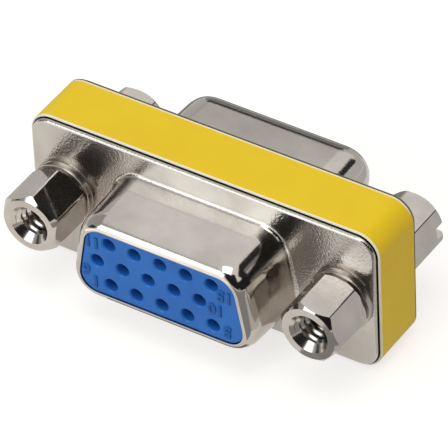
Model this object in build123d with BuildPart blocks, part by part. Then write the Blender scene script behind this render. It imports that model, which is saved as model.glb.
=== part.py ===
from build123d import *
from math import cos, radians, tan
import os

# A gender changer for fifteen-way, three-row D connectors. Two deep-drawn metal shells stand
# back to back, one turned half a turn about the long axis, and two long screws pull them together.
# X runs along the long side, Y is the depth with the first face looking along -Y, and Z is up.
# The origin is under the middle of the band that the part stands on.

# contact grid
contact_pitch = 2.29
row_pitch = 1.98
contacts_in_row = 5
contact_rows = 3
screw_spacing = 24.99

# flanges and the band between them
flange_ear = 2.805
flange_height = 12.45
flange_corner = 1.65
flange_edge = 0.22
housing_depth = 5.8
sheet = 0.28
band_proud = 0.25
band_lip = 0.15
band_edge = 0.08
band_gap = 0.09
band_groove = 0.5
band_core = 0.55
band_wall = 1.1

# D-shaped hood, measured at its mouth
hood_width = 16.33
hood_height = 7.9
hood_corner = 2.4
hood_slant = 10
hood_reach = 5.95
hood_draft = 1.5
hood_root = 0.35
mouth_bend = 0.8

# insulator, held behind the turned-in edge of the hood
insulator_fit = 0.03
face_gap = 0.11
face_recess = 0.2
face_step = 0.7
foot_to_screw = 2.7
foot_to_edge = 1.2
foot_corner = 1.5
board_thickness = 1.0

# contact and its chamber
entry_radius = 0.56
entry_rim = 0.67
entry_depth = 0.85
chamber_radius = 0.68
contact_radius = 0.6
contact_bore = 0.4
contact_bore_depth = 3.2
contact_end_play = 0.1
collar_length = 0.6
tail_radius = 0.25
tail_length = 1.0

# screws, standoffs and washers
hex_across = 4.75
hex_edge = 0.3
hex_end_radius = 2.29
hex_end_angle = 45
standoff_length = 4.35
jack_length = 4.8
thread_radius = 1.42
thread_minor = 1.13
thread_clearance = 0.02
thread_engagement = 2.1
mouth_radius = 1.7
jack_bore_depth = 3.5
slot_width = 0.95
slot_depth = 1.0
stud_tip = 0.3
flange_hole = 1.55
washer_radius = 2.65
washer_hole = 1.5
washer_thickness = 0.64
washer_split = 0.55

# how far each hex and split happens to be turned, in degrees
standoff_turn = {"left": 26, "right": 50}
jack_turn = {"left": 10, "right": 20}
slot_turn = {"left": 20, "right": 0}
split_turn = {"left": 152, "right": 158}

flange_width = screw_spacing + 2 * flange_ear
foot_width = screw_spacing - 2 * foot_to_screw
foot_height = flange_height - 2 * foot_to_edge
axis_height = flange_height / 2 + band_proud
face = housing_depth / 2
mouth = face + hood_reach
board_face = board_thickness / 2
flange_back = face - sheet
mouth_back = mouth - sheet
nose_end = mouth - face_recess - face_step
band_reach = flange_back - band_gap
chamber_end = mouth - face_recess - entry_depth
hex_radius = hex_across / 2 / cos(radians(30))
hex_chamfer = (hex_radius - hex_end_radius) * tan(radians(hex_end_angle))
stud_reach = face + washer_thickness + thread_engagement

# Both planes look outwards from the middle of the part, and the D is wide towards their own -Y,
# so the first connector has its wide side down and the second has it up.
outward = {
    "front": Plane(origin=(0, 0, axis_height), x_dir=(1, 0, 0), z_dir=(0, -1, 0)),
    "rear": Plane(origin=(0, 0, axis_height), x_dir=(1, 0, 0), z_dir=(0, 1, 0)),
}
screw_x = {"left": -screw_spacing / 2, "right": screw_spacing / 2}


# the flange outline in the current sketch, set in from the edge of the plate
def flange_outline(inset=0.0, mode=Mode.ADD):
    RectangleRounded(
        flange_width - 2 * inset, flange_height - 2 * inset, flange_corner - inset, mode=mode
    )


# The D outline in the current sketch, set in from the hood's outer face at its mouth. The hood's
# width is taken over the rounded corners, so the sharp corners lie a little further out.
def d_outline(inset=0.0):
    slant = tan(radians(hood_slant))
    lean = 1 / cos(radians(hood_slant))
    sharp = hood_width / 2 + hood_corner * (slant + lean - 1)
    half = hood_height / 2 - inset
    wide = sharp - inset * (slant + lean)
    narrow = wide - 2 * half * slant
    with BuildLine() as outline:
        Polyline((-wide, -half), (wide, -half), (narrow, half), (-narrow, half), close=True)
    make_face(outline.edges())
    fillet(vertices(), hood_corner - inset)


# how far the draft has widened the hood at a given distance out from the middle
def draft_at(offset):
    return (mouth - offset) * tan(radians(hood_draft))


# centres of the fifteen ways, from the wide side up; the middle row is half a pitch to the left
def contact_places():
    places = []
    for row in range(contact_rows):
        shift = contact_pitch / 2 if row == 1 else 0
        for column in range(contacts_in_row):
            across = (column - (contacts_in_row - 1) / 2) * contact_pitch - shift
            places.append((across, (row - (contact_rows - 1) / 2) * row_pitch))
    return places


# shells: a flat flange, and the hood drawn out of it with its mouth turned in
os.makedirs("parts", exist_ok=True)
for side, plane in outward.items():
    outwards = Axis(plane.origin, plane.z_dir)
    with BuildPart() as shell:
        with BuildSketch(plane.offset(flange_back)):
            flange_outline()
        extrude(amount=sheet)
        with BuildSketch(plane.offset(face)):
            d_outline(-draft_at(face))
        extrude(amount=hood_reach, taper=hood_draft)
        root = shell.edges(Select.LAST).group_by(outwards)[0]
        fillet(root, hood_root)
        fillet(shell.faces().sort_by(outwards)[-1].edges(), mouth_bend)
        rim = shell.faces().filter_by(outwards).sort_by(outwards)[-2].outer_wire().edges()
        fillet(rim, flange_edge)
        with BuildSketch(plane.offset(flange_back)):
            d_outline(sheet - draft_at(flange_back))
        extrude(amount=mouth_back - flange_back, taper=hood_draft, mode=Mode.SUBTRACT)
        bend = shell.faces().filter_by(outwards).sort_by(outwards)[-2].outer_wire().edges()
        fillet(bend, mouth_bend - sheet)
        with BuildSketch(plane.offset(mouth)):
            d_outline(mouth_bend)
        extrude(amount=-mouth_bend, mode=Mode.SUBTRACT)
        with BuildSketch(plane.offset(flange_back)):
            with Locations(*[(x, 0) for x in screw_x.values()]):
                Circle(flange_hole)
        extrude(amount=sheet, mode=Mode.SUBTRACT)
    shell.part.label = f"{side}_shell"
    export_step(shell.part, f"parts/{side}_shell.step")

# band: a ring clamped between the flanges; its thin lip stops short of them over a dark groove
with BuildPart() as band:
    with BuildSketch(outward["front"]):
        flange_outline(-band_proud)
    extrude(amount=band_reach, both=True)
    for end in (-1, 1):
        fillet(band.faces().sort_by(Axis.Y)[end].edges(), band_edge)
    for plane in outward.values():
        with BuildSketch(plane.offset(band_reach)):
            flange_outline(band_lip - band_proud)
            flange_outline(band_core - band_proud, mode=Mode.SUBTRACT)
        extrude(amount=-band_groove, mode=Mode.SUBTRACT)
    with BuildSketch(outward["front"]):
        flange_outline(band_core - band_proud)
    extrude(amount=flange_back, both=True)
    with BuildSketch(outward["front"]):
        flange_outline(band_wall - band_proud)
    extrude(amount=flange_back, both=True, mode=Mode.SUBTRACT)
band.part.label = "label_band"
export_step(band.part, "parts/label_band.step")

# insulators: a foot clamped behind the flange, a nose inside the hood and a face in its mouth
for side, plane in outward.items():
    with BuildPart() as insulator:
        with BuildSketch(plane.offset(board_face)):
            RectangleRounded(foot_width, foot_height, foot_corner)
        extrude(amount=flange_back - board_face)
        with BuildSketch(plane.offset(flange_back)):
            d_outline(sheet + insulator_fit - draft_at(flange_back))
        extrude(amount=nose_end - flange_back, taper=hood_draft)
        with BuildSketch(plane.offset(nose_end)):
            d_outline(mouth_bend + face_gap)
        extrude(amount=face_step)
        with BuildSketch(plane.offset(board_face)):
            with Locations(*contact_places()):
                Circle(chamber_radius)
        extrude(amount=chamber_end - board_face, mode=Mode.SUBTRACT)
        with Locations(plane.offset(mouth - face_recess)):
            with Locations(*contact_places()):
                CounterSinkHole(entry_radius, entry_rim, depth=2 * entry_depth, counter_sink_angle=90)
    insulator.part.label = f"{side}_insulator"
    export_step(insulator.part, f"parts/{side}_insulator.step")

# crossover board between the two insulators
with BuildPart() as board:
    with BuildSketch(outward["front"]):
        RectangleRounded(foot_width, foot_height, foot_corner)
    extrude(amount=board_face, both=True)
board.part.label = "crossover_board"
export_step(board.part, "parts/crossover_board.step")

# contacts: a turned sleeve with a collar that holds it in its chamber, and a tail on the board
sleeve_front = chamber_end - contact_end_play
sleeve_back = board_face + tail_length
for side, plane in outward.items():
    for number, place in enumerate(contact_places(), start=1):
        with BuildPart() as contact:
            with BuildSketch(plane.offset(board_face)):
                with Locations(place):
                    Circle(tail_radius)
            extrude(amount=tail_length)
            with BuildSketch(plane.offset(sleeve_back)):
                with Locations(place):
                    Circle(chamber_radius)
            extrude(amount=collar_length)
            with BuildSketch(plane.offset(sleeve_back + collar_length)):
                with Locations(place):
                    Circle(contact_radius)
            extrude(amount=sleeve_front - sleeve_back - collar_length)
            with BuildSketch(plane.offset(sleeve_front)):
                with Locations(place):
                    Circle(contact_bore)
            extrude(amount=-contact_bore_depth, mode=Mode.SUBTRACT)
        contact.part.label = f"{side}_contact_{number:02d}"
        export_step(contact.part, f"parts/{contact.part.label}.step")


# a hex bar between two distances out from the middle, both ends turned to a cone
def hex_bar(plane, x, start, length, turn):
    with BuildSketch(plane.offset(start)) as hexagon:
        with Locations((x, 0)):
            RegularPolygon(hex_radius, 6, rotation=turn)
        fillet(hexagon.vertices(), hex_edge)
    extrude(hexagon.sketch, amount=length)
    profile = Plane(plane.from_local_coords((x, 0, start)), x_dir=plane.x_dir, z_dir=plane.y_dir)
    with BuildSketch(profile) as turned:
        with BuildLine():
            Polyline(
                (0, 0),
                (hex_end_radius, 0),
                (hex_radius, -hex_chamfer),
                (hex_radius, hex_chamfer - length),
                (hex_end_radius, -length),
                (0, -length),
                close=True,
            )
        make_face()
    revolve(turned.sketch, axis=Axis(profile.origin, plane.z_dir), mode=Mode.INTERSECT)


# front standoffs: threaded right through, with the long screw in their inner end
standoff_start = face + washer_thickness
for hand, x in screw_x.items():
    plane = outward["front"]
    with BuildPart() as standoff:
        hex_bar(plane, x, standoff_start, standoff_length, standoff_turn[hand])
        with Locations(plane.offset(standoff_start + standoff_length)):
            with Locations((x, 0)):
                CounterSinkHole(thread_minor, mouth_radius, counter_sink_angle=90)
        with BuildSketch(plane.offset(standoff_start)):
            with Locations((x, 0)):
                Circle(thread_radius + thread_clearance)
        extrude(amount=thread_engagement + thread_clearance, mode=Mode.SUBTRACT)
    standoff.part.label = f"front_standoff_{hand}"
    export_step(standoff.part, f"parts/{standoff.part.label}.step")

# split lock washers between the front flange and its standoffs
for hand, x in screw_x.items():
    plane = outward["front"]
    with BuildPart() as washer:
        with BuildSketch(plane.offset(face)):
            with Locations((x, 0)):
                Circle(washer_radius)
                Circle(washer_hole, mode=Mode.SUBTRACT)
                with PolarLocations(washer_radius, 1, start_angle=split_turn[hand]):
                    Rectangle(2 * washer_radius, washer_split, mode=Mode.SUBTRACT)
        extrude(amount=washer_thickness)
    washer.part.label = f"lock_washer_{hand}"
    export_step(washer.part, f"parts/{washer.part.label}.step")

# rear jackscrews: a slotted hex with its own threaded bore, and a long stud towards the front
for hand, x in screw_x.items():
    plane = outward["rear"]
    with BuildPart() as jack:
        hex_bar(plane, x, face, jack_length, jack_turn[hand])
        with Locations(plane.offset(face + jack_length)):
            with Locations((x, 0)):
                CounterSinkHole(
                    thread_minor, mouth_radius, depth=jack_bore_depth, counter_sink_angle=90
                )
        with BuildSketch(plane.offset(face + jack_length)):
            with Locations(Location((x, 0), slot_turn[hand])):
                Rectangle(2 * hex_across, slot_width)
        extrude(amount=-slot_depth, mode=Mode.SUBTRACT)
        with BuildSketch(plane.offset(face)):
            with Locations((x, 0)):
                Circle(thread_radius)
        extrude(amount=-(face + stud_reach))
        tip = jack.faces().sort_by(Axis.Y)[0].edges()
        chamfer(tip, stud_tip)
    jack.part.label = f"rear_jackscrew_{hand}"
    export_step(jack.part, f"parts/{jack.part.label}.step")
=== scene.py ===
import math

import bmesh
import bpy
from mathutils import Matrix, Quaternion, Vector


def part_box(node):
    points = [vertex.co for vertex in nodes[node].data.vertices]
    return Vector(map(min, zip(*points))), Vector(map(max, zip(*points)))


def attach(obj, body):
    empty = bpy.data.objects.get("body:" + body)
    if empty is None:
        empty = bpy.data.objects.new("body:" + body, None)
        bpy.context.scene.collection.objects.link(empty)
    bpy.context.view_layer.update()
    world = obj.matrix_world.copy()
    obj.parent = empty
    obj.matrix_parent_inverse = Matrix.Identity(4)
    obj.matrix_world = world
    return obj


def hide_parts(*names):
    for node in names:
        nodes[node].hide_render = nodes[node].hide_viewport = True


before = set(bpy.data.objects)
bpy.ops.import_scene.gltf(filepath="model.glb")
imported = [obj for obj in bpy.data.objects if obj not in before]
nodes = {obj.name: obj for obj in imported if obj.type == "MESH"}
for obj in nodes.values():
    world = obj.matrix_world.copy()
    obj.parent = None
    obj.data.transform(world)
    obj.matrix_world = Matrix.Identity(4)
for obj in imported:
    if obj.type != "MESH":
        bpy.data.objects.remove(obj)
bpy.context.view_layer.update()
mm = 0.001
print("frame loaded:", len(nodes), "nodes")

# places read from the frame: x along the long side, y the depth, z up
shellLow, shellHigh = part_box("front_shell")
axisHeight = (shellLow.z + shellHigh.z) / 2
centre = Vector((0, 0, axisHeight))
mouthY = shellLow.y
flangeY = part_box("lock_washer_left")[1].y
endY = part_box("front_standoff_left")[0].y
screwX = {hand: sum(c.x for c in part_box(f"rear_jackscrew_{hand}")) / 2 for hand in ("left", "right")}


# small helpers for modelling

def deselectAll():
    if bpy.context.mode != "OBJECT":
        bpy.ops.object.mode_set(mode="OBJECT")
    bpy.ops.object.select_all(action="DESELECT")


def activate(piece):
    deselectAll()
    piece.select_set(True)
    bpy.context.view_layer.objects.active = piece


# edit mode, with only those parts of one kind selected that pass the test
def pick(piece, kind, test):
    if bpy.context.mode != "EDIT_MESH":
        activate(piece)
        bpy.ops.object.mode_set(mode="EDIT")
    bpy.ops.mesh.select_mode(type=kind)
    bpy.ops.mesh.select_all(action="DESELECT")
    work = bmesh.from_edit_mesh(piece.data)
    for item in {"VERT": work.verts, "EDGE": work.edges, "FACE": work.faces}[kind]:
        if test(item):
            item.select_set(True)
    work.select_flush_mode()
    bmesh.update_edit_mesh(piece.data)


def leaveEdit():
    bpy.ops.object.mode_set(mode="OBJECT")


def middle(edge):
    return (edge.verts[0].co + edge.verts[1].co) / 2


def alongY(edge):
    step = (edge.verts[1].co - edge.verts[0].co).normalized()
    return abs(step.y) > 0.99


# whether all of an edge or a face lies at one depth
def flatAt(item, y):
    return all(abs(v.co.y - y) < 0.002 * mm for v in item.verts)


# whether an edge borders a wall that runs along y
def bordersWall(edge):
    return any(abs(f.normal.y) < 0.5 for f in edge.link_faces)


def bevelPicked(offset, steps):
    bpy.ops.mesh.bevel(offset=offset, segments=steps, profile=0.5, affect="EDGES", clamp_overlap=False)


# puts an object's place, turn and scale into its mesh
def settle():
    bpy.ops.object.transform_apply(location=True, rotation=True, scale=True)


# the new object in hand gets its name and is settled
def nameNew(name):
    piece = bpy.context.object
    piece.name = name
    settle()
    return piece


def newCube(name, low, high):
    deselectAll()
    bpy.ops.mesh.primitive_cube_add(size=1)
    bpy.context.object.scale = Vector(high) - Vector(low)
    bpy.context.object.location = (Vector(high) + Vector(low)) / 2
    return nameNew(name)


# a round bar along y, given by its near end, length and radius
def newBar(name, x, z, startY, length, radius, steps=48, turn=0.0):
    deselectAll()
    bpy.ops.mesh.primitive_cylinder_add(
        vertices=steps, radius=radius, depth=length, end_fill_type="NGON",
        location=(x, startY + length / 2, z), rotation=(math.pi / 2, turn, 0),
    )
    return nameNew(name)


def newCone(name, x, z, startY, length, startRadius, endRadius, steps):
    deselectAll()
    bpy.ops.mesh.primitive_cone_add(
        vertices=steps, radius1=endRadius, radius2=startRadius, depth=length, end_fill_type="NGON",
        location=(x, startY + length / 2, z), rotation=(math.pi / 2, 0, 0),
    )
    return nameNew(name)


def applyBoolean(piece, other, operation):
    activate(piece)
    change = piece.modifiers.new("cut", "BOOLEAN")
    change.operation = operation
    change.object = other
    change.solver = "EXACT"
    bpy.ops.object.modifier_apply(modifier=change.name)
    bpy.data.objects.remove(other, do_unlink=True)


def joinPieces(pieces):
    activate(pieces[0])
    for other in pieces[1:]:
        other.select_set(True)
    bpy.ops.object.join()
    return pieces[0]


# merges what the cuts left double and shades all but the sharp edges smooth
def cleanUp(piece, sharpAngle):
    activate(piece)
    bpy.ops.object.mode_set(mode="EDIT")
    bpy.ops.mesh.select_all(action="SELECT")
    bpy.ops.mesh.remove_doubles(threshold=0.002 * mm)
    bpy.ops.mesh.normals_make_consistent(inside=False)
    leaveEdit()
    bpy.ops.object.shade_smooth_by_angle(angle=math.radians(sharpAngle))
    even = piece.modifiers.new("even", "WEIGHTED_NORMAL")
    even.keep_sharp = True
    even.weight = 90
    bpy.ops.object.modifier_apply(modifier=even.name)


def finishPiece(piece, name, slot, *replaced):
    piece.name = name
    piece.data.name = name
    piece.data.materials.clear()
    piece.data.materials.append(finishes[slot])
    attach(piece, "root")
    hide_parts(*replaced)


# the rear piece is a copy of the front one, turned over about the long axis
def turnedCopy(piece):
    deselectAll()
    other = piece.copy()
    other.data = piece.data.copy()
    bpy.context.scene.collection.objects.link(other)
    activate(other)
    bpy.ops.object.mode_set(mode="EDIT")
    bpy.ops.mesh.select_all(action="SELECT")
    bpy.ops.transform.rotate(value=math.pi, orient_axis="X", center_override=centre)
    leaveEdit()
    return other


# small helpers for materials

def newMaterial(name):
    material = bpy.data.materials.new(name)
    material.use_nodes = True
    tree = material.node_tree
    return material, tree, tree.nodes["Principled BSDF"]


def addNode(tree, kind, **settings):
    node = tree.nodes.new(kind)
    for key, value in settings.items():
        setattr(node, key, value)
    return node


def addPlace(tree):
    return addNode(tree, "ShaderNodeTexCoord").outputs["Object"]


# fills sockets in order, each from another node or with a plain value
def fill(tree, sockets, values):
    for socket, value in zip(sockets, values):
        if isinstance(value, bpy.types.NodeSocket):
            tree.links.new(value, socket)
        else:
            socket.default_value = value


def addMaths(tree, operation, *values):
    node = addNode(tree, "ShaderNodeMath", operation=operation)
    fill(tree, node.inputs, values)
    return node.outputs[0]


# x, y and z of a place, and how far it lies from the middle of the depth
def addSplit(tree, place):
    split = addNode(tree, "ShaderNodeSeparateXYZ")
    tree.links.new(place, split.inputs[0])
    return split, addMaths(tree, "ABSOLUTE", split.outputs["Y"])


# the length that is left of a place after some vector steps
def addDistance(tree, place, *steps):
    for operation, *values in steps:
        node = addNode(tree, "ShaderNodeVectorMath", operation=operation)
        fill(tree, node.inputs, (place, *values))
        place = node.outputs["Vector"]
    node = addNode(tree, "ShaderNodeVectorMath", operation="LENGTH")
    tree.links.new(place, node.inputs[0])
    return node.outputs["Value"]


def addNoise(tree, place, scale, detail):
    noise = addNode(tree, "ShaderNodeTexNoise")
    noise.inputs["Scale"].default_value = scale
    noise.inputs["Detail"].default_value = detail
    tree.links.new(place, noise.inputs["Vector"])
    return noise.outputs["Fac"]


def addRange(tree, value, fromLow, fromHigh, toLow, toHigh):
    node = addNode(tree, "ShaderNodeMapRange")
    fill(tree, node.inputs, (value, fromLow, fromHigh, toLow, toHigh))
    return node.outputs["Result"]


def addMix(tree, factor, first, second):
    node = addNode(tree, "ShaderNodeMix", data_type="RGBA")
    fill(tree, (node.inputs["Factor"], node.inputs[6], node.inputs[7]), (factor, first, second))
    return node.outputs[2]


# two tones of one finish in soft clouds
def addTones(tree, cloud, tones):
    return addMix(tree, addRange(tree, cloud, tones["cloudLow"], 0.7, 0, 1), tones["pale"], tones["dull"])


def addBump(tree, height, strength, distance, under=None):
    node = addNode(tree, "ShaderNodeBump")
    node.inputs["Strength"].default_value = strength
    node.inputs["Distance"].default_value = distance
    tree.links.new(height, node.inputs["Height"])
    if under:
        tree.links.new(under, node.inputs["Normal"])
    return node.outputs["Normal"]


# materials, with the sizes that they share with the shapes

flange = {
    "corner": 1.65 * mm, "cornerSteps": 12, "edge": 0.22 * mm, "edgeSteps": 5, "sheet": 0.28 * mm,
    "hole": 1.55 * mm,
}
nickel = {
    "pale": (0.57, 0.527, 0.48, 1), "dull": (0.46, 0.425, 0.385, 1), "cloud": 260, "cloudLow": 0.35,
    "hoodRoughness": 0.11, "flangeRoughness": 0.18, "grain": 5200, "grainHeight": 0.022 * mm,
    "hoodGrain": 0.12, "waves": 420, "waveHeight": 0.012 * mm,
}


def makeNickelShell():
    material, tree, shader = newMaterial("nickelShell")
    place = addPlace(tree)
    depth = addSplit(tree, place)[1]
    # the flange keeps a grainy skin from the blanking, and the drawn hood comes out smoother
    onHood = addRange(tree, depth, abs(flangeY) + 0.1 * mm, abs(flangeY) + 0.8 * mm, 0, 1)
    cloud = addNoise(tree, place, nickel["cloud"], 4)
    tree.links.new(addTones(tree, cloud, nickel), shader.inputs["Base Color"])
    shader.inputs["Metallic"].default_value = 1
    rough = addRange(tree, onHood, 0, 1, nickel["flangeRoughness"], nickel["hoodRoughness"])
    uneven = addMaths(tree, "MULTIPLY", rough, addRange(tree, cloud, 0.3, 0.7, 0.8, 1.3))
    tree.links.new(uneven, shader.inputs["Roughness"])
    strength = addRange(tree, onHood, 0, 1, 1, nickel["hoodGrain"])
    grain = addMaths(tree, "MULTIPLY", addNoise(tree, place, nickel["grain"], 2), strength)
    waves = addBump(tree, addNoise(tree, place, nickel["waves"], 1), 1, nickel["waveHeight"])
    tree.links.new(addBump(tree, grain, 1, nickel["grainHeight"], waves), shader.inputs["Normal"])
    return material


hardware = {
    "pale": (0.57, 0.525, 0.48, 1), "dull": (0.49, 0.45, 0.41, 1), "cloud": 500, "cloudLow": 0.35,
    "rough": (0.07, 0.13), "cutRoughness": 0.16, "cutRadius": 1.69 * mm, "marks": 2600,
    "markHeight": 0.005 * mm,
}


def makeNickelHardware():
    material, tree, shader = newMaterial("nickelHardware")
    place = addPlace(tree)
    cloud = addNoise(tree, place, hardware["cloud"], 3)
    tree.links.new(addTones(tree, cloud, hardware), shader.inputs["Base Color"])
    shader.inputs["Metallic"].default_value = 1
    rough = addRange(tree, cloud, 0.3, 0.7, *hardware["rough"])
    # near the screw's axis lie the cut threads and countersinks, which are duller than the bar
    fromAxis = addDistance(
        tree, place, ("SUBTRACT", centre), ("ABSOLUTE",), ("SUBTRACT", (screwX["right"], 0, 0)),
        ("MULTIPLY", (1, 0, 1)),
    )
    edge = hardware["cutRadius"]
    cut = addRange(tree, fromAxis, edge - 0.03 * mm, edge + 0.03 * mm, hardware["cutRoughness"], 0)
    tree.links.new(addMaths(tree, "MAXIMUM", rough, cut), shader.inputs["Roughness"])
    # drawing marks run along the bar
    stretch = addNode(tree, "ShaderNodeMapping")
    stretch.inputs["Scale"].default_value = (1, 0.05, 1)
    tree.links.new(place, stretch.inputs["Vector"])
    marks = addNoise(tree, stretch.outputs[0], hardware["marks"], 2)
    tree.links.new(addBump(tree, marks, 0.3, hardware["markHeight"]), shader.inputs["Normal"])
    return material


spring = {
    "pale": (0.52, 0.47, 0.42, 1), "dull": (0.38, 0.34, 0.30, 1), "cloud": 900, "cloudLow": 0.35,
    "rough": (0.2, 0.34), "grain": 4000, "grainHeight": 0.006 * mm,
}


def makeSpringSteel():
    material, tree, shader = newMaterial("springSteel")
    place = addPlace(tree)
    cloud = addNoise(tree, place, spring["cloud"], 3)
    tree.links.new(addTones(tree, cloud, spring), shader.inputs["Base Color"])
    shader.inputs["Metallic"].default_value = 1
    tree.links.new(addRange(tree, cloud, 0.3, 0.7, *spring["rough"]), shader.inputs["Roughness"])
    grain = addNoise(tree, place, spring["grain"], 2)
    tree.links.new(addBump(tree, grain, 0.3, spring["grainHeight"]), shader.inputs["Normal"])
    return material


band = {
    "proud": 0.25 * mm, "lip": 0.15 * mm, "core": 0.55 * mm, "wall": 1.1 * mm, "gap": 0.09 * mm,
    "groove": 0.5 * mm, "edge": 0.08 * mm, "edgeSteps": 4, "cornerSteps": 14,
}
bandPaint = {
    "pale": (0.90, 0.62, 0.010, 1), "dull": (0.87, 0.585, 0.008, 1), "cloud": 240, "cloudLow": 0.35,
    # the last two colours here are near-black painted shade, for the groove behind the lip and the dark
    # line at the back; core is also used for a painted highlight
    "core": (0.92, 0.88, 0.70, 1), "groove": (0.03, 0.026, 0.02, 1), "paintedShadeLine": (0.06, 0.045, 0.03, 1),
    "rough": (0.36, 0.46), "specular": 0.22, "skin": 900, "peel": 700, "peelHeight": 0.008 * mm,
    "grain": 5200, "grainHeight": 0.003 * mm,
}
# how far in from the band's ends each tone is full: the pale cut edge at both, a wider pale edge on the
# back's upper side that is a painted highlight, and the thin dark line of painted shade that it ends in,
# as in the photo
bandEdges = {"cut": 0.20 * mm, "wide": 0.40 * mm, "paintedShadeLine": 0.25 * mm}


def makeYellowBand():
    material, tree, shader = newMaterial("yellowBand")
    place = addPlace(tree)
    split, depth = addSplit(tree, place)
    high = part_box("label_band")[1]
    face = addTones(tree, addNoise(tree, place, bandPaint["cloud"], 3), bandPaint)
    cutFrom, highlightFrom, paintedShadeFrom = (high.y - bandEdges[key] for key in ("cut", "wide", "paintedShadeLine"))
    cut = addRange(tree, depth, cutFrom - 0.03 * mm, cutFrom, 0, 1)
    # painted highlight: the wider pale edge on the back's upper side
    back = addRange(tree, split.outputs["Y"], highlightFrom - 0.06 * mm, highlightFrom, 0, 0.7)
    above = addRange(tree, split.outputs["Z"], high.z - 1.2 * mm, high.z - 0.6 * mm, 0, 1)
    wide = addMaths(tree, "MULTIPLY", back, above)
    # painted shade: the thin dark line along the back's end
    paintedShadeLine = addRange(tree, split.outputs["Y"], paintedShadeFrom - 0.03 * mm, paintedShadeFrom, 0, 1)
    # how far in from the rounded outline, for the painted shade in the groove behind the lip
    corner = flange["corner"] + band["proud"]
    fromCorner = addDistance(
        tree, place, ("SUBTRACT", centre), ("ABSOLUTE",),
        ("SUBTRACT", (high.x - corner, 1, high.z - axisHeight - corner)), ("MAXIMUM", (0, 0, 0)),
    )
    inside = addRange(tree, fromCorner, corner - 0.19 * mm, corner - 0.16 * mm, 1, 0)
    colour = addMix(tree, cut, face, bandPaint["core"])
    # the wider pale back edge is a painted highlight, and the dark line is painted shade
    colour = addMix(tree, wide, colour, bandPaint["core"])
    colour = addMix(tree, paintedShadeLine, colour, bandPaint["paintedShadeLine"])
    # painted shade: the groove and core behind the lip are darkened to near black
    colour = addMix(tree, inside, colour, bandPaint["groove"])
    tree.links.new(colour, shader.inputs["Base Color"])
    skin = addNoise(tree, place, bandPaint["skin"], 3)
    tree.links.new(addRange(tree, skin, 0.3, 0.7, *bandPaint["rough"]), shader.inputs["Roughness"])
    shader.inputs["Specular IOR Level"].default_value = bandPaint["specular"]
    peel = addBump(tree, addNoise(tree, place, bandPaint["peel"], 2), 0.3, bandPaint["peelHeight"])
    grain = addNoise(tree, place, bandPaint["grain"], 2)
    tree.links.new(addBump(tree, grain, 0.2, bandPaint["grainHeight"], peel), shader.inputs["Normal"])
    return material


insulator = {
    "fit": 0.03 * mm, "gap": 0.11 * mm, "recess": 0.11 * mm, "edge": 0.07 * mm, "nose": 0.9 * mm,
    "entry": 0.56 * mm, "rim": 0.67 * mm, "entryDepth": 0.85 * mm, "entrySteps": 40,
    "chamber": 0.68 * mm, "chamberDepth": 9 * mm, "chamberSteps": 32, "pitch": 2.29 * mm,
    "rowPitch": 1.98 * mm, "footCorner": 1.5 * mm, "footSteps": 6, "cornerSteps": 8, "edgeSteps": 3,
}
plastic = {
    "pale": (0.025, 0.20, 0.67, 1), "dull": (0.020, 0.16, 0.58, 1), "cloud": 300, "cloudLow": 0.35,
    # number is a darker blue, painted shade for the raised numbers
    "number": (0.004, 0.115, 0.42, 1), "rough": (0.34, 0.46), "specular": 0.3, "skin": 1400,
    "peel": 1100, "peelHeight": 0.006 * mm, "grain": 6000, "grainHeight": 0.003 * mm,
    "glow": (0.2 * mm, 0.3 * mm, 0.5 * mm), "glowWeight": 0.12,
}


def makeBlueInsulator():
    material, tree, shader = newMaterial("blueInsulator")
    place = addPlace(tree)
    depth = addSplit(tree, place)[1]
    colour = addTones(tree, addNoise(tree, place, plastic["cloud"], 3), plastic)
    # the raised numbers get a darker blue, painted shade standing for the shading along their strokes
    face = abs(mouthY) - insulator["recess"]
    raised = addRange(tree, depth, face + 0.01 * mm, face + 0.03 * mm, 0, 1)
    tree.links.new(addMix(tree, raised, colour, plastic["number"]), shader.inputs["Base Color"])
    skin = addNoise(tree, place, plastic["skin"], 3)
    tree.links.new(addRange(tree, skin, 0.3, 0.7, *plastic["rough"]), shader.inputs["Roughness"])
    shader.inputs["Specular IOR Level"].default_value = plastic["specular"]
    shader.inputs["Subsurface Weight"].default_value = plastic["glowWeight"]
    shader.inputs["Subsurface Radius"].default_value = plastic["glow"]
    shader.inputs["Subsurface Scale"].default_value = 1
    peel = addBump(tree, addNoise(tree, place, plastic["peel"], 2), 0.3, plastic["peelHeight"])
    grain = addNoise(tree, place, plastic["grain"], 2)
    tree.links.new(addBump(tree, grain, 0.25, plastic["grainHeight"], peel), shader.inputs["Normal"])
    return material


laminate = {
    "pale": (0.30, 0.30, 0.12, 1), "dull": (0.40, 0.38, 0.17, 1), "cloudLow": 0.3, "weave": 1800,
    "weaveHeight": 0.01 * mm,
}


def makeBoard():
    material, tree, shader = newMaterial("boardLaminate")
    weave = addNoise(tree, addPlace(tree), laminate["weave"], 4)
    tree.links.new(addTones(tree, weave, laminate), shader.inputs["Base Color"])
    shader.inputs["Roughness"].default_value = 0.5
    tree.links.new(addBump(tree, weave, 0.4, laminate["weaveHeight"]), shader.inputs["Normal"])
    return material


gilding = {
    "pale": (0.72, 0.53, 0.24, 1), "dull": (0.60, 0.42, 0.18, 1), "cloud": 1600, "cloudLow": 0.35,
    "rough": (0.24, 0.34),
}


def makeContactMetal():
    material, tree, shader = newMaterial("contactMetal")
    cloud = addNoise(tree, addPlace(tree), gilding["cloud"], 3)
    tree.links.new(addTones(tree, cloud, gilding), shader.inputs["Base Color"])
    shader.inputs["Metallic"].default_value = 1
    tree.links.new(addRange(tree, cloud, 0.3, 0.7, *gilding["rough"]), shader.inputs["Roughness"])
    return material


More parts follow.
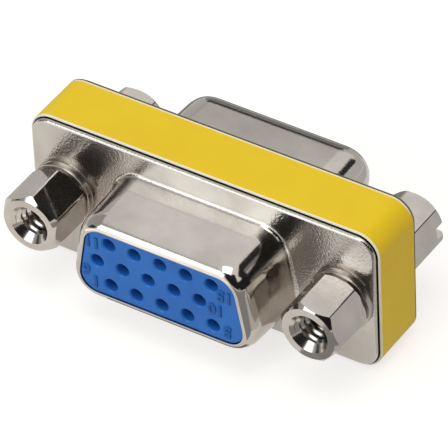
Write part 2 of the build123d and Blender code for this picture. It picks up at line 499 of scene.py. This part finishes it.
finishes = {
    "nickel_shell": makeNickelShell(),
    "nickel_hardware": makeNickelHardware(),
    "spring_steel": makeSpringSteel(),
    "yellow_band": makeYellowBand(),
    "blue_insulator": makeBlueInsulator(),
    "board": makeBoard(),
    "contact_metal": makeContactMetal(),
}
print("materials made:", len(finishes))


# drawn shells

hood = {
    "width": 16.33 * mm, "height": 7.9 * mm, "corner": 2.4 * mm, "cornerSteps": 10, "slant": 10,
    "draft": 1.5, "root": 0.35 * mm, "rootSteps": 5, "mouth": 0.8 * mm, "mouthRun": 1.5 * mm,
    "mouthSteps": 9, "lip": 0.07 * mm,
}


# half widths of the sharp D at its wide and narrow sides, and half its height, all set in by a distance
def sharpHalves(inset):
    slant = math.tan(math.radians(hood["slant"]))
    lean = 1 / math.cos(math.radians(hood["slant"]))
    wide = hood["width"] / 2 + hood["corner"] * (slant + lean - 1) - inset * (slant + lean)
    tall = hood["height"] / 2 - inset
    return wide, wide - 2 * tall * slant, tall


# a D-shaped block between two depths, its four long edges rounded
def newDBlock(name, nearY, farY, nearInset, farInset, corner, steps):
    block = newCube(name, (-1 * mm, nearY, -1 * mm), (1 * mm, farY, 1 * mm))
    for vertex in block.data.vertices:
        at = vertex.co
        wide, narrow, tall = sharpHalves(nearInset if at.y < (nearY + farY) / 2 else farInset)
        half = narrow if at.z > 0 else wide
        vertex.co = (math.copysign(half, at.x), at.y, axisHeight + math.copysign(tall, at.z))
    for upper in (False, True):
        angle = math.radians(90 + hood["slant"] if upper else 90 - hood["slant"])
        pick(block, "EDGE", lambda e: alongY(e) and (middle(e).z > axisHeight) == upper)
        bevelPicked(corner / math.tan(angle / 2), steps)
    leaveEdit()
    return block


# where the drawn wall turns into the flange
def atRoot(edge):
    at = middle(edge)
    across, up = abs(at.x) - hood["width"] / 2, abs(at.z - axisHeight) - hood["height"] / 2
    return flatAt(edge, flangeY) and bordersWall(edge) and max(across, up) < 1 * mm


# the flange's own outline at its front
def atRim(edge):
    at = middle(edge)
    onSide = abs(at.x) > shellHigh.x - flange["corner"] - 1 * mm
    onLong = abs(at.z - axisHeight) > shellHigh.z - axisHeight - 0.01 * mm
    return flatAt(edge, flangeY) and bordersWall(edge) and (onSide or onLong)


def buildShell():
    backY = flangeY + flange["sheet"]
    shell = newCube("frontShell", (shellLow.x, flangeY, shellLow.z), (shellHigh.x, backY, shellHigh.z))
    pick(shell, "EDGE", alongY)
    bevelPicked(flange["corner"], flange["cornerSteps"])
    leaveEdit()

    # the draft widens the hood by this much from the mouth to the flange
    spread = abs(mouthY - flangeY) * math.tan(math.radians(hood["draft"]))
    drawn = newDBlock("hood", mouthY, flangeY, 0, -spread, hood["corner"], hood["cornerSteps"])
    # the block is let into the plate by a little, so that the two join along one clean loop
    pick(drawn, "FACE", lambda f: f.normal.y > 0.9)
    bpy.ops.transform.translate(value=(0, 0.1 * mm, 0))
    leaveEdit()
    applyBoolean(shell, drawn, "UNION")

    pick(shell, "EDGE", atRoot)
    bevelPicked(hood["root"], hood["rootSteps"])
    # the mouth is turned in round the insulator, and the wall starts to turn in well before it
    pick(shell, "EDGE", lambda e: flatAt(e, mouthY))
    bevelPicked(hood["mouth"], hood["mouthSteps"])
    pick(shell, "VERT", lambda v: v.co.y < mouthY + hood["mouth"] + 0.01 * mm)
    drawnOut = (1, hood["mouthRun"] / hood["mouth"], 1)
    bpy.ops.transform.resize(value=drawnOut, center_override=(0, mouthY, axisHeight))
    pick(shell, "FACE", lambda f: flatAt(f, mouthY))
    bpy.ops.mesh.inset(thickness=hood["lip"], use_even_offset=True)
    bpy.ops.mesh.delete(type="FACE")
    # only the outer skin is kept, and the sheet gets its thickness inwards
    pick(shell, "FACE", lambda f: f.calc_center_median().y > flangeY + 0.05 * mm)
    bpy.ops.mesh.delete(type="FACE")
    leaveEdit()
    sheet = shell.modifiers.new("sheet", "SOLIDIFY")
    sheet.thickness = flange["sheet"]
    sheet.offset = -1
    sheet.use_even_offset = True
    activate(shell)
    bpy.ops.object.modifier_apply(modifier=sheet.name)

    # the blanking tool rounds the flange's front edge
    pick(shell, "EDGE", atRim)
    bevelPicked(flange["edge"], flange["edgeSteps"])
    leaveEdit()
    for x in screwX.values():
        hole = newBar("hole", x, axisHeight, flangeY - 1 * mm, 2 * mm, flange["hole"])
        applyBoolean(shell, hole, "DIFFERENCE")
    cleanUp(shell, sharpAngle=25)
    return shell


frontShell = buildShell()
rearShell = turnedCopy(frontShell)
finishPiece(frontShell, "frontShell", "nickel_shell", "front_shell")
finishPiece(rearShell, "rearShell", "nickel_shell", "rear_shell")
print("shells made")


# yellow band

# whether a face looks along y and lies at one depth, in front or behind
def capAt(face, depth):
    return abs(face.normal.y) > 0.99 and abs(abs(face.calc_center_median().y) - depth) < 0.02 * mm


def buildBand():
    low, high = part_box("label_band")
    reach = high.y - band["gap"]
    ring = newCube("band", (low.x, -reach, low.z), (high.x, reach, high.z))
    pick(ring, "EDGE", alongY)
    bevelPicked(flange["corner"] + band["proud"], band["cornerSteps"])
    pick(ring, "EDGE", lambda e: flatAt(e, reach) or flatAt(e, -reach))
    bevelPicked(band["edge"], band["edgeSteps"])
    # a thin lip outside, a groove behind it, and the core that the flanges are clamped against
    grooveY = reach - band["groove"]
    pick(ring, "FACE", lambda f: abs(f.normal.y) > 0.99)
    bpy.ops.mesh.inset(thickness=band["lip"] - band["edge"], use_even_offset=True)
    bpy.ops.mesh.extrude_region_shrink_fatten(TRANSFORM_OT_shrink_fatten={"value": -band["groove"]})
    pick(ring, "FACE", lambda f: capAt(f, grooveY))
    bpy.ops.mesh.inset(thickness=band["core"] - band["lip"], use_even_offset=True)
    bpy.ops.mesh.extrude_region_shrink_fatten(TRANSFORM_OT_shrink_fatten={"value": high.y - grooveY})
    pick(ring, "FACE", lambda f: capAt(f, high.y))
    bpy.ops.mesh.inset(thickness=band["wall"] - band["core"], use_even_offset=True)
    bpy.ops.mesh.bridge_edge_loops()
    leaveEdit()
    cleanUp(ring, sharpAngle=30)
    return ring


finishPiece(buildBand(), "labelBand", "yellow_band", "label_band")
print("band made")


# hex hardware with screw threads

hexBar = {"across": 4.75 * mm, "edge": 0.3 * mm, "edgeSteps": 5, "endRadius": 2.29 * mm, "endSteps": 96}
bore = {
    "major": 1.42 * mm, "minor": 1.13 * mm, "mouth": 1.7 * mm, "pitch": 0.635 * mm, "under": 1.08 * mm,
    "rootHalf": 0.04 * mm, "baseHalf": 0.3 * mm, "depth": 3.5 * mm, "steps": 72, "coilSteps": 36,
    "frontCoils": 6, "rearCoils": 5,
}
slot = {"width": 0.95 * mm, "depth": 1.0 * mm}
# how far each hex, slot and split is turned, seen from the front with 0 along +x and 90 upwards
turns = {
    "frontHex": {"left": 26, "right": 50},
    "rearHex": {"left": -10, "right": -20},
    "slot": {"left": -20, "right": 0},
    "split": {"left": 152, "right": 158},
}


# a hex bar along y with softened long edges, both ends turned to a cone
def newHexBar(name, x, nearY, farY, turn):
    corner = hexBar["across"] / 2 / math.cos(math.radians(30))
    length = farY - nearY
    bar = newBar(name, x, axisHeight, nearY, length, corner, 6, math.radians(30 - turn))
    pick(bar, "EDGE", alongY)
    bevelPicked(hexBar["edge"] * math.tan(math.radians(30)), hexBar["edgeSteps"])
    leaveEdit()
    wide = corner * 1.02
    turned = newBar("turned", x, axisHeight, nearY, length, wide, hexBar["endSteps"])
    for end in (nearY, farY):
        pick(turned, "EDGE", lambda e: flatAt(e, end))
        bevelPicked(wide - hexBar["endRadius"], 1)
    leaveEdit()
    applyBoolean(bar, turned, "INTERSECT")
    return bar


# a V-shaped coil that cuts the thread, from a closed profile swept by the screw modifier
def newThread(x, startY, coils):
    deselectAll()
    bpy.ops.mesh.primitive_circle_add(vertices=4, radius=1 * mm, fill_type="NOTHING")
    coil = bpy.context.object
    spots = (
        (bore["under"], 0, -bore["baseHalf"]), (bore["major"], 0, -bore["rootHalf"]),
        (bore["major"], 0, bore["rootHalf"]), (bore["under"], 0, bore["baseHalf"]),
    )
    for vertex, spot in zip(coil.data.vertices, spots):
        vertex.co = spot
    wind = coil.modifiers.new("wind", "SCREW")
    wind.axis = "Z"
    wind.screw_offset = bore["pitch"]
    wind.iterations = coils
    wind.steps = bore["coilSteps"]
    wind.render_steps = bore["coilSteps"]
    wind.use_smooth_shade = False
    activate(coil)
    bpy.ops.object.modifier_apply(modifier=wind.name)
    bpy.ops.object.mode_set(mode="EDIT")
    bpy.ops.mesh.select_all(action="SELECT")
    bpy.ops.mesh.remove_doubles(threshold=0.0005 * mm)
    bpy.ops.mesh.select_all(action="DESELECT")
    bpy.ops.mesh.select_non_manifold()
    bpy.ops.mesh.fill_holes(sides=4)
    bpy.ops.mesh.select_all(action="SELECT")
    bpy.ops.mesh.normals_make_consistent(inside=False)
    leaveEdit()
    coil.rotation_euler = (math.pi / 2, 0, 0)
    coil.location = (x, startY, axisHeight)
    settle()
    return coil


# countersinks, drills and taps a bar from one end: outwards is -1 at the front and 1 at the rear
def tapBar(bar, x, barEnd, outwards, depth, coils):
    over = 0.2 * mm
    wide, narrow = bore["mouth"] + over, bore["minor"] - 0.15 * mm
    reach = wide - narrow
    nearY = barEnd - over if outwards < 0 else barEnd + over - reach
    radii = (wide, narrow) if outwards < 0 else (narrow, wide)
    sink = newCone("sink", x, axisHeight, nearY, reach, *radii, bore["steps"])
    applyBoolean(bar, sink, "DIFFERENCE")
    deepY, outerY = barEnd - outwards * depth, barEnd + outwards * 1 * mm
    nearY, length = min(deepY, outerY), abs(outerY - deepY)
    # turned by half a step, so that its sides and the countersink's don't fall on each other
    halfStep = math.pi / bore["steps"]
    drill = newBar("drill", x, axisHeight, nearY, length, bore["minor"], bore["steps"], halfStep)
    applyBoolean(bar, drill, "DIFFERENCE")
    topOfCoil = barEnd + bore["pitch"] if outwards > 0 else barEnd + (coils - 1) * bore["pitch"]
    applyBoolean(bar, newThread(x, topOfCoil, coils), "DIFFERENCE")


def buildStandoff(hand):
    x = screwX[hand]
    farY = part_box(f"front_standoff_{hand}")[1].y
    bar = newHexBar("standoff", x, endY, farY, turns["frontHex"][hand])
    tapBar(bar, x, endY, -1, farY - endY + 1 * mm, bore["frontCoils"])
    cleanUp(bar, sharpAngle=22)
    return bar


def buildJackscrew(hand):
    x = screwX[hand]
    low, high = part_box(f"rear_jackscrew_{hand}")
    bar = newHexBar("jackscrew", x, abs(flangeY), high.y, turns["rearHex"][hand])
    tapBar(bar, x, high.y, 1, bore["depth"], bore["rearCoils"])
    half = Vector((hexBar["across"], slot["depth"], slot["width"] / 2))
    cutter = newCube("slot", -half, half)
    cutter.rotation_euler = (0, -math.radians(turns["slot"][hand]), 0)
    cutter.location = (x, high.y, axisHeight)
    activate(cutter)
    settle()
    applyBoolean(bar, cutter, "DIFFERENCE")
    stud = newBar("stud", x, axisHeight, low.y, abs(flangeY) - low.y + 0.2 * mm, bore["major"])
    applyBoolean(bar, stud, "UNION")
    cleanUp(bar, sharpAngle=22)
    return bar


for hand in screwX:
    standoff, jackscrew = buildStandoff(hand), buildJackscrew(hand)
    finishPiece(standoff, f"frontStandoff{hand.title()}", "nickel_hardware", f"front_standoff_{hand}")
    finishPiece(jackscrew, f"rearJackscrew{hand.title()}", "nickel_hardware", f"rear_jackscrew_{hand}")
print("standoffs and jackscrews made")


# split lock washers

washer = {
    "radius": 2.65 * mm, "steps": 64, "hole": 1.5 * mm, "split": 0.3 * mm, "lean": 22, "edge": 0.07 * mm,
    "edgeSteps": 2,
}


def buildWasher(hand):
    low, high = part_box(f"lock_washer_{hand}")
    x = screwX[hand]
    thick = high.y - low.y
    ring = newBar("washer", x, axisHeight, low.y, thick, washer["radius"], washer["steps"])
    hole = newBar("hole", x, axisHeight, low.y - 1 * mm, thick + 2 * mm, washer["hole"])
    applyBoolean(ring, hole, "DIFFERENCE")
    pick(ring, "EDGE", lambda e: bordersWall(e) and any(abs(f.normal.y) > 0.9 for f in e.link_faces))
    bevelPicked(washer["edge"], washer["edgeSteps"])
    leaveEdit()
    # the split leans across the coil
    half = washer["split"] / 2
    cutter = newCube("split", (0, -2 * thick, -half), (2 * washer["radius"], 2 * thick, half))
    cutter.rotation_euler = (math.radians(washer["lean"]), 0, 0)
    activate(cutter)
    settle()
    cutter.rotation_euler = (0, -math.radians(turns["split"][hand]), 0)
    cutter.location = (x, (low.y + high.y) / 2, axisHeight)
    settle()
    applyBoolean(ring, cutter, "DIFFERENCE")
    cleanUp(ring, sharpAngle=30)
    return ring


for hand in screwX:
    finishPiece(buildWasher(hand), f"lockWasher{hand.title()}", "spring_steel", f"lock_washer_{hand}")
print("washers made")


# insulators with their ways and position numbers

# Millimetres across and up from the middle of the face. The numbers stand upside down here, as the
# wide side of the D is below.
numbers = {
    "11": (-6.05, 1.85), "6": (-6.72, -1.12), "1": (-5.92, -2.03),
    "15": (5.76, 1.42), "10": (4.92, -0.17), "5": (5.87, -1.95),
}
figure = {"height": 1.0 * mm, "share": 0.7, "raised": 0.08 * mm, "bolder": 0.035 * mm, "edge": 0.015 * mm}


def wayPlaces():
    places = []
    for row in (-1, 0, 1):
        shift = 0 if row else insulator["pitch"] / 2
        for column in range(-2, 3):
            places.append((column * insulator["pitch"] - shift, axisHeight + row * insulator["rowPitch"]))
    return places


def buildNumber(text, across, up, faceY):
    deselectAll()
    bpy.ops.object.text_add(location=(0, 0, 0), rotation=(math.pi / 2, math.pi, 0))
    letters = bpy.context.object.data
    letters.body = text
    letters.align_x = "CENTER"
    letters.align_y = "CENTER"
    letters.size = figure["height"] / figure["share"]
    letters.extrude = figure["raised"]
    letters.offset = figure["bolder"]
    letters.bevel_depth = figure["edge"]
    letters.bevel_resolution = 1
    letters.resolution_u = 4
    bpy.ops.object.convert(target="MESH")
    bpy.context.object.location = (across, faceY, axisHeight + up)
    return nameNew("number")


def buildInsulator():
    faceY = mouthY + insulator["recess"]
    noseY = mouthY + insulator["nose"]
    backY = flangeY + flange["sheet"]
    low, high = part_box("front_insulator")
    body = newCube("insulator", (low.x, backY, low.z), (high.x, high.y, high.z))
    pick(body, "EDGE", alongY)
    bevelPicked(insulator["footCorner"], insulator["footSteps"])
    leaveEdit()
    fit = flange["sheet"] + insulator["fit"]
    spread = abs(mouthY - backY) * math.tan(math.radians(hood["draft"]))
    steps = insulator["cornerSteps"]
    nose = newDBlock("nose", noseY, backY + 0.2 * mm, fit, fit - spread, hood["corner"] - fit, steps)
    applyBoolean(body, nose, "UNION")
    inset = hood["mouth"] + insulator["gap"]
    plug = newDBlock("plug", faceY, noseY + 0.2 * mm, inset, inset, hood["corner"] - inset, steps)
    pick(plug, "EDGE", lambda e: flatAt(e, faceY))
    bevelPicked(insulator["edge"], insulator["edgeSteps"])
    leaveEdit()
    applyBoolean(body, plug, "UNION")
    # drill and countersink reach a little past what they cut, so that no two faces fall together
    over = 0.1 * mm
    entry, wide, depth = insulator["entry"], insulator["rim"] + over, insulator["entryDepth"]
    sides = insulator["entrySteps"]
    chamber = (insulator["chamberDepth"], insulator["chamber"], insulator["chamberSteps"])
    drills, sinks, chambers = [], [], []
    for x, z in wayPlaces():
        drills.append(newBar("drill", x, z, faceY - 1 * mm, 1 * mm + depth + over, entry, sides))
        sinks.append(newCone("sink", x, z, faceY - over, wide - entry, wide, entry, sides))
        chambers.append(newBar("chamber", x, z, faceY + depth, *chamber))
    for cutters in (drills, chambers, sinks):
        applyBoolean(body, joinPieces(cutters), "DIFFERENCE")
    cleanUp(body, sharpAngle=30)
    figures = [buildNumber(text, across * mm, up * mm, faceY) for text, (across, up) in numbers.items()]
    return joinPieces([body] + figures)


frontInsulator = buildInsulator()
rearInsulator = turnedCopy(frontInsulator)
finishPiece(frontInsulator, "frontInsulator", "blue_insulator", "front_insulator")
finishPiece(rearInsulator, "rearInsulator", "blue_insulator", "rear_insulator")
print("insulators made")


# the contacts and the board keep their CAD shape and take the finish of their slot

for name, node in nodes.items():
    if not node.hide_render:
        node.data.materials.clear()
        node.data.materials.append(finishes["board" if "board" in name else "contact_metal"])


# studio

studio = {"paper": (0.47, 0.44, 0.40, 1), "seenLift": 0.68, "mirrorLift": 0.58, "ambient": 0.50}


# how bright something is to rays from the camera, and to those by way of metal or glass
def lightPath(tree, seen, mirrored):
    rays = addNode(tree, "ShaderNodeLightPath").outputs
    either = addMaths(tree, "MAXIMUM", rays["Is Glossy Ray"], rays["Is Transmission Ray"])
    indirect = addMaths(tree, "MULTIPLY", either, mirrored)
    return addMaths(tree, "MULTIPLY_ADD", rays["Is Camera Ray"], seen, indirect)


# plain paper, lifted to white where it is seen and still dark under the object
def makeFloor():
    deselectAll()
    bpy.ops.mesh.primitive_plane_add(size=6, location=(0, 0, 0))
    floor = bpy.context.object
    floor.name = "floor"
    material, tree, shader = newMaterial("paper")
    shader.inputs["Base Color"].default_value = studio["paper"]
    shader.inputs["Roughness"].default_value = 0.9
    shader.inputs["Specular IOR Level"].default_value = 0.1
    shader.inputs["Emission Color"].default_value = (1, 1, 1, 1)
    lift = lightPath(tree, studio["seenLift"], studio["mirrorLift"])
    tree.links.new(lift, shader.inputs["Emission Strength"])
    floor.data.materials.append(material)


def makeWorld():
    world = bpy.data.worlds.new("studioWorld")
    bpy.context.scene.world = world
    world.use_nodes = True
    tree = world.node_tree
    tree.nodes.clear()
    seen = addNode(tree, "ShaderNodeBackground")
    seen.inputs["Color"].default_value = (1, 1, 1, 1)
    lit = addNode(tree, "ShaderNodeBackground")
    lit.inputs["Color"].default_value = (1, 0.99, 0.98, 1)
    lit.inputs["Strength"].default_value = studio["ambient"]
    mix = addNode(tree, "ShaderNodeMixShader")
    fill(tree, mix.inputs, (lightPath(tree, 1, 1), lit.outputs[0], seen.outputs[0]))
    out = addNode(tree, "ShaderNodeOutputWorld")
    tree.links.new(mix.outputs[0], out.inputs["Surface"])


# a direction by its turn from the front towards +x and its rise over the floor
def towards(turn, rise):
    turn, rise = math.radians(turn), math.radians(rise)
    return Vector((math.sin(turn) * math.cos(rise), -math.cos(turn) * math.cos(rise), math.sin(rise)))


lamps = {
    "keyLamp": {
        "turn": -23, "rise": 37, "reach": 0.42, "side": 0.257, "watts": 0.45, "colour": (0.8, 0.91, 1),
        "mirrored": True,
    },
    "topLamp": {
        "turn": 20, "rise": 80, "reach": 0.5, "side": 0.30, "watts": 0.70, "colour": (1, 1, 1),
        "mirrored": True,
    },
    "sideLamp": {
        "turn": 75, "rise": 35, "reach": 0.5, "side": 0.24, "watts": 0.085, "colour": (1, 0.86, 0.7),
        "mirrored": False,
    },
}


def addLamp(name, lamp):
    data = bpy.data.lights.new(name, "AREA")
    data.shape = "RECTANGLE"
    data.size = lamp["side"]
    data.size_y = lamp["side"]
    data.energy = lamp["watts"]
    data.color = lamp["colour"]
    light = bpy.data.objects.new(name, data)
    bpy.context.scene.collection.objects.link(light)
    away = towards(lamp["turn"], lamp["rise"])
    light.location = centre + lamp["reach"] * away
    light.rotation_euler = away.to_track_quat("Z", "Y").to_euler()
    light.visible_glossy = lamp["mirrored"]


# what only the polished metal sees, as a photographer sets cards round nickel
def finishCard(card, shade):
    settle()
    material, tree, shader = newMaterial(card.name)
    shader.inputs["Base Color"].default_value = (0, 0, 0, 1)
    shader.inputs["Specular IOR Level"].default_value = 0
    shader.inputs["Emission Color"].default_value = (1, 1, 1, 1)
    shader.inputs["Emission Strength"].default_value = shade
    card.data.materials.append(material)
    card.visible_camera = False
    card.visible_diffuse = False
    card.visible_shadow = False
    card.visible_transmission = False


# turn and rise of each card's middle and half of what it spans, all in degrees, its shade and distance
cards = {
    "keyCard": (-22, 11, 15, 10, 2.1, 0.40),
    "keyRim": (-22, 11, 18, 13, 1.1, 0.41),
    "frontLeftCard": (-55, 11, 14, 11, 0.05, 0.60),
    "leftCard": (-82, 30, 32, 31, 0.48, 0.70),
    "backCard": (-145, 18, 36, 20, 0.69, 0.70),
    "backDarkCard": (-152, 26, 8, 5, 0.05, 0.62),
    "backLowCard": (-154, 10, 12, 10, 0.3, 0.62),
    "backRightCard": (153, 14, 28, 14, 0.69, 0.70),
    "cameraCard": (34, 34, 27, 32, 0.02, 0.60),
    "rightCard": (93, 17, 32, 17, 0.02, 0.60),
    "upperRightCard": (128, 42, 24, 12, 0.03, 0.60),
    "gapCard": (135, 34, 5, 4, 0.3, 0.55),
}


def addCard(name, turn, rise, halfTurn, halfRise, shade, reach):
    deselectAll()
    bpy.ops.mesh.primitive_plane_add(size=2 * reach)
    card = bpy.context.object
    card.name = name
    away = towards(turn, rise)
    card.scale = (math.tan(math.radians(halfTurn)), math.tan(math.radians(halfRise)), 1)
    card.location = centre + reach * away
    card.rotation_euler = away.to_track_quat("Z", "Y").to_euler()
    finishCard(card, shade)


# sheets that lie on the floor, by two corners in millimetres, and their shade
sheets = {
    "rightSheet": ((17, -11), (200, 150), 0.67),
    "frontRightSheet": ((9, -150), (200, -11), 0.34),
    "backSheet": ((-70, 14), (5, 120), 0.28),
    # underSheet is a painted shadow: a dark sheet, seen only in the metal, where the hood shades the
    # floor
    "underSheet": ((-6.5, -9.6), (8, -7.6), 0.2),
    "frontSheet": ((-50, -120), (2, -23), 1.7),
}


def addSheet(name, low, high, shade):
    deselectAll()
    bpy.ops.mesh.primitive_plane_add(size=mm)
    sheet = bpy.context.object
    sheet.name = name
    sheet.scale = (high[0] - low[0], high[1] - low[1], 1)
    sheet.location = ((low[0] + high[0]) / 2 * mm, (low[1] + high[1]) / 2 * mm, 0.05 * mm)
    finishCard(sheet, shade)


makeFloor()
makeWorld()
for name, lamp in lamps.items():
    addLamp(name, lamp)
for name, card in cards.items():
    addCard(name, *card)
for name, sheet in sheets.items():
    addSheet(name, *sheet)
print("studio set")


# camera at the photograph's viewing angle

photo = {
    "azimuth": 34.294, "elevation": 40.245, "roll": -2.818, "distance": 425.94 * mm, "lens": 450.63,
    "aim": (0.145 * mm, -0.111 * mm, -0.205 * mm),
}


def makeCamera():
    data = bpy.data.cameras.new("camera")
    data.sensor_width = 36
    data.lens = photo["lens"]
    data.clip_start = 10 * mm
    data.clip_end = 20
    camera = bpy.data.objects.new("camera", data)
    bpy.context.scene.collection.objects.link(camera)
    away = towards(photo["azimuth"], photo["elevation"])
    camera.location = centre + Vector(photo["aim"]) + away * photo["distance"]
    camera.rotation_mode = "QUATERNION"
    roll = Quaternion((0, 0, 1), math.radians(photo["roll"]))
    camera.rotation_quaternion = away.to_track_quat("Z", "Y") @ roll
    bpy.context.scene.camera = camera


makeCamera()
bpy.context.scene.view_settings.view_transform = "Standard"
